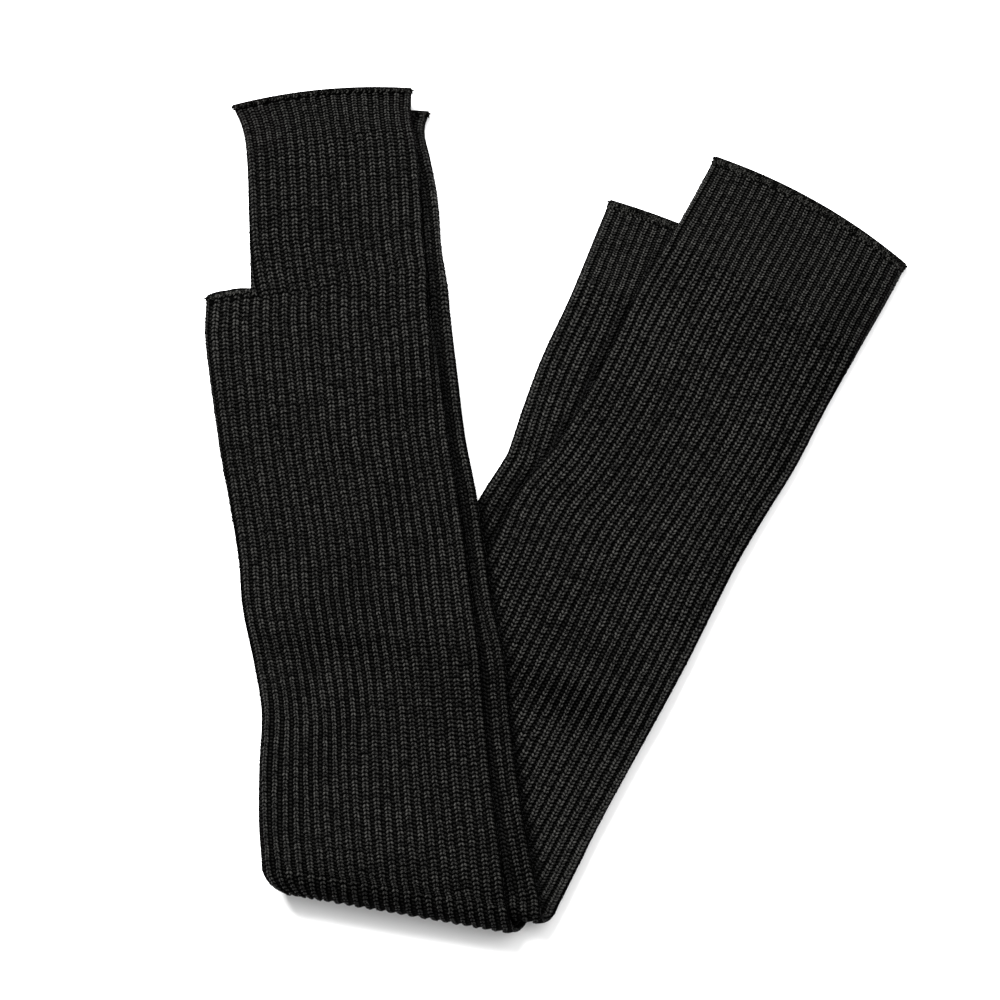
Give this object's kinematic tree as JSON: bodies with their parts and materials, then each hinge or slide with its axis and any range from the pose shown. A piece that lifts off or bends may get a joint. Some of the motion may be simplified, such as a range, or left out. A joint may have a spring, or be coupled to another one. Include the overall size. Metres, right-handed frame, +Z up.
{
  "type": "pair of wrist warmers",
  "caption": "Long rib-knit fingerless wrist warmers with thumb openings, laid flat one on the other and folded together into a V.",
  "frame": {"origin": "middle of the pair's box on the surface that it lies on", "axes": "+X to the right and +Y up the page as the pair is seen from above with the fold at the bottom, +Z up from the surface"},
  "size_m": [0.2676, 0.3219, 0.0187],
  "materials": {
    "rib_knit": "matt charcoal wool and acrylic yarn in 1x1 rib",
    "bound_edge": "matt charcoal yarn, bound off"
  },
  "bodies": {
    "root": {"arm_outer": "rib_knit", "arm_edge_outer": "bound_edge", "fold_outer": "rib_knit", "forearm_outer": "rib_knit", "thumb_edge_outer": "bound_edge", "hand_outer": "rib_knit", "hand_edge_outer": "bound_edge", "arm_inner": "rib_knit", "arm_edge_inner": "bound_edge", "fold_inner": "rib_knit", "forearm_inner": "rib_knit", "thumb_edge_inner": "bound_edge", "hand_inner": "rib_knit", "hand_edge_inner": "bound_edge"}
  },
  "joints": []
}
